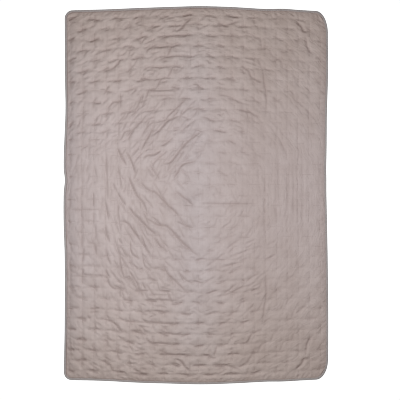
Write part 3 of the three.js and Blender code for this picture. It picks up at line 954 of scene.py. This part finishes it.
def add_node(tree, kind, **inputs):
    """Adds a shader node and sets or links its inputs by name."""
    made = tree.nodes.new(kind)
    for name, value in inputs.items():
        socket = made.inputs[int(name[1:]) if name[0] == "_" else name.replace("_", " ")]
        if isinstance(value, bpy.types.NodeSocket):
            tree.links.new(value, socket)
        else:
            socket.default_value = value
    return made


def math(tree, operation, a, b=0.0):
    """Output of a maths node on one or two values or sockets."""
    made = add_node(tree, "ShaderNodeMath", _0=a, _1=b)
    made.operation = operation
    return made.outputs[0]


def mixed(tree, share, first, second, kind="MIX"):
    """Colour that goes from a first colour to a second one, or to their product."""
    made = add_node(tree, "ShaderNodeMix", _0=share, _6=first, _7=second)
    made.data_type = "RGBA"
    made.blend_type = kind
    return made.outputs[2]


# Threads in each metre of the cover, how often thick places come in its weft, in its warp and in broad
# streaks, and how much the over and under of the threads adds to them
COVER_THREADS = 1300
SLUBS = [(14, 420, 1), (420, 14, 1), (120, 9, 1)]
OVER_UNDER_SHARE = 0.25


def plain_weave():
    """Node group of a plain weave: over-and-under threads of one pitch, some of them thicker than others."""
    group = bpy.data.node_groups.new("plain weave", "ShaderNodeTree")
    face_in = group.interface.new_socket("Threads per metre", in_out="INPUT", socket_type="NodeSocketFloat")
    face_in.default_value = COVER_THREADS
    group.interface.new_socket("Height", in_out="OUTPUT", socket_type="NodeSocketFloat")
    group.interface.new_socket("Shade", in_out="OUTPUT", socket_type="NodeSocketFloat")
    given = group.nodes.new("NodeGroupInput")
    given_out = group.nodes.new("NodeGroupOutput")
    place = group.nodes.new("ShaderNodeTexCoord").outputs["Object"]
    split = add_node(group, "ShaderNodeSeparateXYZ", Vector=place)
    turn = math(group, "MULTIPLY", given.outputs["Threads per metre"], np.pi)
    warp = math(group, "SINE", math(group, "MULTIPLY", split.outputs["X"], turn))
    weft = math(group, "SINE", math(group, "MULTIPLY", split.outputs["Y"], turn))
    over_under = math(group, "MULTIPLY", warp, weft)
    slubs = []
    for stretch in SLUBS:
        drawn_out = add_node(group, "ShaderNodeVectorMath", _0=place, _1=stretch)
        drawn_out.operation = "MULTIPLY"
        slub = add_node(group, "ShaderNodeTexNoise", Vector=drawn_out.outputs[0], Scale=1, Detail=2)
        slubs.append(slub.outputs["Fac"])
    thick = math(group, "ADD", math(group, "ADD", slubs[0], slubs[1]), slubs[2])
    height = math(group, "ADD", math(group, "MULTIPLY", over_under, OVER_UNDER_SHARE), thick)
    group.links.new(height, given_out.inputs["Height"])
    group.links.new(math(group, "MULTIPLY", thick, 1 / len(SLUBS)), given_out.inputs["Shade"])
    return group


# Bends of the crinkles in each metre and how far they sway, and how many crinkles come in a metre outwards
# and in a radian round the middle
CRINKLE_BENDS = 14
CRINKLE_SWAY = (0.05, 0.05, 0)
CRINKLES_OUTWARDS = 75.0
CRINKLES_ROUND = 9.0


def fine_crinkles():
    """Node group of the small crinkles that run in rings round the middle of the quilt."""
    group = bpy.data.node_groups.new("fine crinkles", "ShaderNodeTree")
    group.interface.new_socket("Height", in_out="OUTPUT", socket_type="NodeSocketFloat")
    given_out = group.nodes.new("NodeGroupOutput")
    place = group.nodes.new("ShaderNodeTexCoord").outputs["Object"]
    bend = add_node(group, "ShaderNodeTexNoise", Vector=place, Scale=CRINKLE_BENDS, Detail=2)
    sway = add_node(group, "ShaderNodeVectorMath", _0=bend.outputs["Color"], _1=CRINKLE_SWAY)
    sway.operation = "MULTIPLY"
    bent = add_node(group, "ShaderNodeVectorMath", _0=place, _1=sway.outputs[0])
    split = add_node(group, "ShaderNodeSeparateXYZ", Vector=bent.outputs[0])
    across, along = split.outputs["X"], split.outputs["Y"]
    squares = math(group, "ADD", math(group, "MULTIPLY", across, across),
                   math(group, "MULTIPLY", along, along))
    radius = math(group, "SQRT", squares)
    turn = math(group, "ARCTAN2", along, math(group, "MULTIPLY", across, -1.0))
    on_ring = add_node(group, "ShaderNodeCombineXYZ", X=math(group, "MULTIPLY", radius, CRINKLES_OUTWARDS),
                       Y=math(group, "MULTIPLY", turn, CRINKLES_ROUND))
    crinkle = add_node(group, "ShaderNodeTexNoise", Vector=on_ring.outputs[0], Scale=1, Detail=3,
                       Roughness=0.55)
    group.links.new(crinkle.outputs["Fac"], given_out.inputs["Height"])
    return group


weave = plain_weave()
crinkles = fine_crinkles()

COVER_LIGHT = (0.545, 0.481, 0.474, 1)
COVER_DEEP = (0.475, 0.411, 0.400, 1)
# Painted shade: the colour that the shadowed cores of grooves and creases are darkened towards
COVER_PAINTED_SHADE = (0.31, 0.255, 0.245, 1)
# Painted light: the tint that the cloth turns to away from its pale pool of painted light a little left of
# the middle
PAINTED_POOL_FAR_TINT = (1.0, 0.985, 0.945, 1)
WEAVE_DEPTH = 0.4 * mm
CRINKLE_DEPTH = 5 * mm
PAINTED_LIGHT_BANDS = [
    # place across in mm, and how light and how cool the broad soft bands of painted light and shade are
    (-700, 0.95, 0.01),
    (-655, 0.965, 0.01),
    (-615, 1.025, 0.005),
    (-450, 1.045, 0.0),
    (-200, 1.01, 0.0),
    (0, 1.015, 0.015),
    (200, 0.97, -0.005),
    (340, 0.935, -0.01),
    (480, 0.975, -0.005),
    (620, 1.0, 0.0),
]
# How near the ends the painted bands of light and shade fade, what washing and weave share of the tone, the
# tones from deep to light, the way to the middle's pale pool of painted light, its shape and where the cloth
# turns warmer, and how much the painted shade darkens the grooves
BANDS_FADE = (0.98, 0.75)
WASHED_SHARE = 0.6
WOVEN_SHARE = 0.4
TONE_RANGE = (0.32, 0.68)
TO_PALE_MIDDLE = (0.25, 0.0, 0.0)
PALE_SHAPE = (0.45, 1.0, 0.0)
PALE_REACH = (0.35, 1.0)
PAINTED_SHADE_STRENGTH = 0.55


def cotton(name, light, deep, painted_shade_colour, far_tint, threads, weave_depth, crinkle_depth):
    """A matt cotton with a soft washed look, painted shade in its grooves, and painted light in a pool and
    bands.
    """
    material = bpy.data.materials.new(name)
    material.use_nodes = True
    tree = material.node_tree
    surface = tree.nodes["Principled BSDF"]
    woven = tree.nodes.new("ShaderNodeGroup")
    woven.node_tree = weave
    woven.inputs["Threads per metre"].default_value = threads
    place = tree.nodes.new("ShaderNodeTexCoord").outputs["Object"]
    washed = add_node(tree, "ShaderNodeTexNoise", Vector=place, Scale=9, Detail=4, Roughness=0.6)
    tone = math(tree, "ADD", math(tree, "MULTIPLY", washed.outputs["Fac"], WASHED_SHARE),
                math(tree, "MULTIPLY", woven.outputs["Shade"], WOVEN_SHARE))
    ramp = add_node(tree, "ShaderNodeMapRange", Value=tone, _1=TONE_RANGE[0], _2=TONE_RANGE[1])
    cloth = mixed(tree, ramp.outputs[0], deep, light)
    # Painted light: a pale pool a little left of the middle, with the cloth turning warmer and a shade darker
    # away from it
    shifted = add_node(tree, "ShaderNodeVectorMath", _0=place, _1=TO_PALE_MIDDLE)
    from_middle = add_node(tree, "ShaderNodeVectorMath", _0=shifted.outputs[0], _1=PALE_SHAPE)
    from_middle.operation = "MULTIPLY"
    reach = add_node(tree, "ShaderNodeVectorMath", _0=from_middle.outputs[0])
    reach.operation = "LENGTH"
    beyond_pool = add_node(tree, "ShaderNodeMapRange", Value=reach.outputs["Value"],
                    _1=PALE_REACH[0], _2=PALE_REACH[1])
    warmed = mixed(tree, beyond_pool.outputs[0], cloth, far_tint, "MULTIPLY")
    # Painted light and shade: broad soft bands across the quilt, lighter, darker and cooler
    split = add_node(tree, "ShaderNodeSeparateXYZ", Vector=place)
    across = add_node(tree, "ShaderNodeMapRange", Value=split.outputs["X"], _1=-WIDTH / 2, _2=WIDTH / 2)
    bands = add_node(tree, "ShaderNodeValToRGB", Fac=across.outputs[0])
    bands.color_ramp.interpolation = "EASE"
    for stop, (place_across, lightness, coolness) in enumerate(PAINTED_LIGHT_BANDS):
        at = place_across * mm / WIDTH + 0.5
        element = bands.color_ramp.elements[0] if stop == 0 else bands.color_ramp.elements.new(at)
        element.position = at
        element.color = (lightness - coolness, lightness, lightness + coolness, 1)
    bands.color_ramp.elements.remove(bands.color_ramp.elements[-1])
    from_end = math(tree, "ABSOLUTE", split.outputs["Y"])
    band_share = add_node(tree, "ShaderNodeMapRange", Value=from_end, _1=BANDS_FADE[0], _2=BANDS_FADE[1])
    banded = mixed(tree, band_share.outputs[0], warmed, bands.outputs["Color"], "MULTIPLY")
    # Painted shade: the cloth darkens where the groove attribute marks a shadowed groove or crease core
    groove_shade = tree.nodes.new("ShaderNodeAttribute")
    groove_shade.attribute_name = "groove"
    groove_shade_share = math(tree, "MULTIPLY", groove_shade.outputs["Fac"], PAINTED_SHADE_STRENGTH)
    tree.links.new(mixed(tree, groove_shade_share, banded, painted_shade_colour), surface.inputs["Base Color"])
    bump = add_node(tree, "ShaderNodeBump", Height=woven.outputs["Height"], Strength=0.5,
                    Distance=weave_depth)
    crinkled = tree.nodes.new("ShaderNodeGroup")
    crinkled.node_tree = crinkles
    crinkle_bump = add_node(tree, "ShaderNodeBump", Height=crinkled.outputs["Height"], Strength=0.6,
                            Distance=crinkle_depth, Normal=bump.outputs["Normal"])
    tree.links.new(crinkle_bump.outputs["Normal"], surface.inputs["Normal"])
    surface.inputs["Roughness"].default_value = 0.92
    surface.inputs["Specular IOR Level"].default_value = 0.2
    surface.inputs["Sheen Weight"].default_value = 0.15
    surface.inputs["Sheen Roughness"].default_value = 0.5
    return material


quilt_body.data.materials.append(
    cotton("cover cotton", COVER_LIGHT, COVER_DEEP, COVER_PAINTED_SHADE, PAINTED_POOL_FAR_TINT, COVER_THREADS, WEAVE_DEPTH,
           CRINKLE_DEPTH))
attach(quilt_body, "root")
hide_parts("quilt_body")

# Quilting thread. Each cross is two short lines of running stitches in cotton thread, sewn through all the
# layers. Each stitch lies in its groove, and a small gap follows it where the thread is on the back.
STITCH_PITCH = 5.2 * mm
STITCH_LENGTH = 3.7 * mm
STITCH_RADIUS = 0.5 * mm
STITCH_SIDES = 4
STITCH_SHOULDERS = (0.22, 0.78)


def stitch_row(path):
    """The two ends of each running stitch that fits along a line of points."""
    steps = np.linalg.norm(np.diff(path, axis=0), axis=1)
    travelled = np.concatenate([[0], np.cumsum(steps)])
    number = int(travelled[-1] // STITCH_PITCH)
    at = (np.arange(number) + 0.5) * travelled[-1] / number
    return [np.stack([np.interp(at + d, travelled, path[:, k]) for k in range(3)], -1)
            for d in (-STITCH_LENGTH / 2, STITCH_LENGTH / 2)]


def stitch_mesh(starts, stops):
    """One small closed spindle of thread for each start and stop."""
    run = stops - starts
    run /= np.linalg.norm(run, axis=1)[:, None]
    side = np.cross(run, (0, 0, 1))
    side /= np.linalg.norm(side, axis=1)[:, None]
    up = np.cross(side, run)
    turns = 2 * np.pi * (np.arange(STITCH_SIDES) + 0.5) / STITCH_SIDES
    round_it = (np.cos(turns)[None, :, None] * side[:, None] + np.sin(turns)[None, :, None] * up[:, None])
    round_it *= STITCH_RADIUS
    centre = [starts + share * (stops - starts) for share in STITCH_SHOULDERS]
    rings = [c[:, None] + round_it for c in centre]
    points = np.concatenate([starts[:, None], *rings, stops[:, None]], 1)
    each = points.shape[1]
    turn = np.arange(STITCH_SIDES)
    after = (turn + 1) % STITCH_SIDES
    near, far = 1 + turn, 1 + STITCH_SIDES + turn
    near_after, far_after = 1 + after, 1 + STITCH_SIDES + after
    tip = np.full(STITCH_SIDES, each - 1)
    one_stitch = [*np.stack([0 * turn, near, near_after], -1),
                  *np.stack([near, far, far_after, near_after], -1),
                  *np.stack([far, tip, far_after], -1)]
    faces = [corners + first for first in range(0, len(points) * each, each) for corners in one_stitch]
    return points.reshape(-1, 3), faces


def on_face(u, v):
    """Points of the face over places of the straight field."""
    c = np.interp(u, fine_across, np.arange(len(fine_across)))
    r = np.interp(v, fine_along, np.arange(len(fine_along)))
    c0 = np.minimum(c.astype(int), len(fine_across) - 2)
    r0 = np.minimum(r.astype(int), len(fine_along) - 2)
    right, up = (c - c0)[:, None], (r - r0)[:, None]
    below = face_points[r0, c0] * (1 - right) + face_points[r0, c0 + 1] * right
    above = face_points[r0 + 1, c0] * (1 - right) + face_points[r0 + 1, c0 + 1] * right
    return below * (1 - up) + above * up


starts, stops = [], []
for line in arms:
    low, high = stitch_row(on_face(*line.T))
    starts.append(low)
    stops.append(high)
quilting_thread = new_piece("quilting_thread", *stitch_mesh(np.concatenate(starts), np.concatenate(stops)))

QUILTING_THREAD_COLOUR = (0.40, 0.335, 0.325, 1)
TWIST_FINENESS = 900
DEEP_TWIST = 0.75


def thread(name, colour):
    """Matt cotton thread with its fine twist."""
    material = bpy.data.materials.new(name)
    material.use_nodes = True
    tree = material.node_tree
    surface = tree.nodes["Principled BSDF"]
    place = tree.nodes.new("ShaderNodeTexCoord").outputs["Object"]
    twist = add_node(tree, "ShaderNodeTexNoise", Vector=place, Scale=TWIST_FINENESS, Detail=2)
    deep = tuple(DEEP_TWIST * channel for channel in colour[:3]) + (1,)
    tree.links.new(mixed(tree, twist.outputs["Fac"], deep, colour), surface.inputs["Base Color"])
    surface.inputs["Roughness"].default_value = 0.8
    return material


quilting_thread.data.materials.append(thread("quilting thread", QUILTING_THREAD_COLOUR))
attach(quilting_thread, "root")

# Edge binding. A narrow strip of the same cotton, a shade greyer, folded over the raw edge with its own edges
# turned in, and sewn down through the quilt all round.
BINDING_CLOTH = 1.2 * mm
BINDING_GAP = 0.3 * mm
binding_inner = BINDING_WIDTH - BINDING_GAP
inside_top = EDGE_HEIGHT + BINDING_GAP
binding_top = inside_top + BINDING_CLOTH
inner_wall = BINDING_CLOTH + BINDING_GAP
BINDING_SECTION = [
    # inset from the outer edge, height, and share of the strip's unevenness
    (binding_inner, inside_top + 0.5 * mm, 1.0),
    (binding_inner - 1.0 * mm, binding_top - 0.2 * mm, 1.0),
    (binding_inner - 3.0 * mm, binding_top + 0.1 * mm, 1.0),
    (binding_inner - 6.0 * mm, binding_top + 0.2 * mm, 1.0),
    (2.4 * mm, binding_top - 0.1 * mm, 0.8),
    (1.0 * mm, binding_top - 0.9 * mm, 0.6),
    (0.3 * mm, binding_top - 2.0 * mm, 0.3),
    (0.0 * mm, binding_top / 2, 0.0),
    (0.3 * mm, 1.6 * mm, 0.0),
    (1.0 * mm, 0.6 * mm, 0.0),
    (2.6 * mm, 0.0 * mm, 0.0),
    (binding_inner, 0.0 * mm, 0.0),
    (binding_inner, BINDING_CLOTH, 0.0),
    (inner_wall, BINDING_CLOTH, 0.0),
    (inner_wall, inside_top, 0.0),
    (binding_inner, inside_top, 0.0),
]
PUCKER_HEIGHT = 0.35 * mm
SHORT_PUCKERS = 14 * mm
LONG_PUCKERS = 45 * mm
PUCKER_SPREAD = 1.4
WAVER = 0.4 * mm
WAVER_LENGTH = 30 * mm
WAVER_FROM = 0.7
edge_run = np.concatenate([[0], np.cumsum(np.linalg.norm(np.diff(edge, axis=0), axis=1))])


def edge_noise(length):
    """Smooth random rise and fall round the closed edge, with lumps of about one length."""
    lumps = int(edge_run[-1] // length)
    knots = rng.normal(size=lumps)
    at = edge_run / (edge_run[-1] + 1e-9) * lumps
    low = at.astype(int)
    blend = at - low
    blend = blend * blend * (3 - 2 * blend)
    return knots[low % lumps] * (1 - blend) + knots[(low + 1) % lumps] * blend


pucker = PUCKER_HEIGHT * (edge_noise(SHORT_PUCKERS) + edge_noise(LONG_PUCKERS)) / PUCKER_SPREAD
waver = WAVER * edge_noise(WAVER_LENGTH)
binding_rings = []
for inset, height, share in BINDING_SECTION:
    inner_share = max(0.0, inset / binding_inner - WAVER_FROM) / (1 - WAVER_FROM) if share > 0 else 0.0
    binding_rings.append(ring(inset + inner_share * waver, height + share * pucker))
binding_ids = np.arange(len(binding_rings) * len(edge)).reshape(len(binding_rings), -1)
next_ids = np.roll(binding_ids, -1, 0)
binding_faces = np.concatenate([wall(here, there) for here, there in zip(binding_ids, next_ids)])
edge_binding = new_piece("edge_binding_strip", np.concatenate(binding_rings), binding_faces)
BINDING_LIGHT = (0.46, 0.43, 0.425, 1)
BINDING_DEEP = (0.40, 0.37, 0.365, 1)
PLAIN_TINT = (1, 1, 1, 1)
BINDING_THREADS = 1500
BINDING_CRINKLE = 2 * mm
edge_binding.data.materials.append(
    cotton("binding cotton", BINDING_LIGHT, BINDING_DEEP, COVER_PAINTED_SHADE, PLAIN_TINT, BINDING_THREADS,
           WEAVE_DEPTH, BINDING_CRINKLE))
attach(edge_binding, "root")
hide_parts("edge_binding")

# Binding stitches. One line of running stitches in cotton thread, close to the strip's inner edge. It goes
# through the strip and all the layers of the quilt, and holds the folded strip down all round.
STITCH_LINE = 2.2 * mm
STITCH_ABOVE = 0.05 * mm
BINDING_THREAD_COLOUR = (0.36, 0.32, 0.31, 1)
sewn_inset = binding_inner - STITCH_LINE
sewn_line = ring(sewn_inset, binding_top + STITCH_ABOVE + pucker)
low, high = stitch_row(np.concatenate([sewn_line, sewn_line[:1]]))
binding_stitches = new_piece("binding_stitches", *stitch_mesh(low, high))
binding_stitches.data.materials.append(thread("binding thread", BINDING_THREAD_COLOUR))
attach(binding_stitches, "root")

# Floor. A plain white surface that the quilt lies on, just under its back. It is white mostly by its own
# light, so that the outline of the quilt is smooth against it.
FLOOR_REACH = 100.0
FLOOR_LEVEL = -0.3 * mm
FLOOR_GREY = (0.1, 0.1, 0.1, 1)
FLOOR_GLOW = 0.95
floor_corners = [(FLOOR_REACH * x, FLOOR_REACH * y, FLOOR_LEVEL)
                 for x, y in ((-1, -1), (1, -1), (1, 1), (-1, 1))]
floor = new_piece("floor", floor_corners, [(0, 1, 2, 3)])
floor_paint = bpy.data.materials.new("white floor")
floor_paint.use_nodes = True
floor_surface = floor_paint.node_tree.nodes["Principled BSDF"]
floor_surface.inputs["Base Color"].default_value = FLOOR_GREY
floor_surface.inputs["Roughness"].default_value = 0.9
floor_surface.inputs["Emission Color"].default_value = (1, 1, 1, 1)
floor_surface.inputs["Emission Strength"].default_value = FLOOR_GLOW
floor.data.materials.append(floor_paint)

# Light. One soft lamp hangs over the quilt, a little left of its middle, with an even fill from all round.
# The picture keeps plain tones, with the darkest ones drawn down a little.
LAMP_RADIUS = 0.2
LAMP_POWER = 237
LAMP_PLACE = (-0.15, 0.0, 2.4)
FILL_COLOUR = (1.0, 0.985, 0.97, 1)
FILL_STRENGTH = 0.06
PIXEL_SOFTNESS = 0.95
BLACK_LEVEL = (0.10, 0.10, 0.10)
scene = bpy.context.scene
lamp_data = bpy.data.lights.new("lamp over the middle", "POINT")
lamp_data.shadow_soft_size = LAMP_RADIUS
lamp_data.energy = LAMP_POWER
lamp = bpy.data.objects.new("lamp over the middle", lamp_data)
lamp.location = LAMP_PLACE
lamp.visible_camera = False
scene.collection.objects.link(lamp)
world = bpy.data.worlds.new("even fill")
world.use_nodes = True
world.node_tree.nodes["Background"].inputs["Color"].default_value = FILL_COLOUR
world.node_tree.nodes["Background"].inputs["Strength"].default_value = FILL_STRENGTH
scene.world = world
scene.cycles.filter_width = PIXEL_SOFTNESS
scene.view_settings.view_transform = "Standard"
scene.view_settings.use_curve_mapping = True
scene.view_settings.curve_mapping.black_level = BLACK_LEVEL
scene.view_settings.curve_mapping.update()

# Camera. A long lens straight above the face, as in the photograph. The quilt lies a little up and to the
# left of the middle of the picture.
FRAME_WIDTH = 2.1333
LENS = 85
CAMERA_RIGHT = 21.9 * mm
CAMERA_DOWN = 25.4 * mm
camera_data = bpy.data.cameras.new("camera")
camera_data.lens = LENS
camera = bpy.data.objects.new("camera", camera_data)
camera.location = (CAMERA_RIGHT, -CAMERA_DOWN, FRAME_WIDTH * LENS / camera_data.sensor_width)
scene.collection.objects.link(camera)
scene.camera = camera
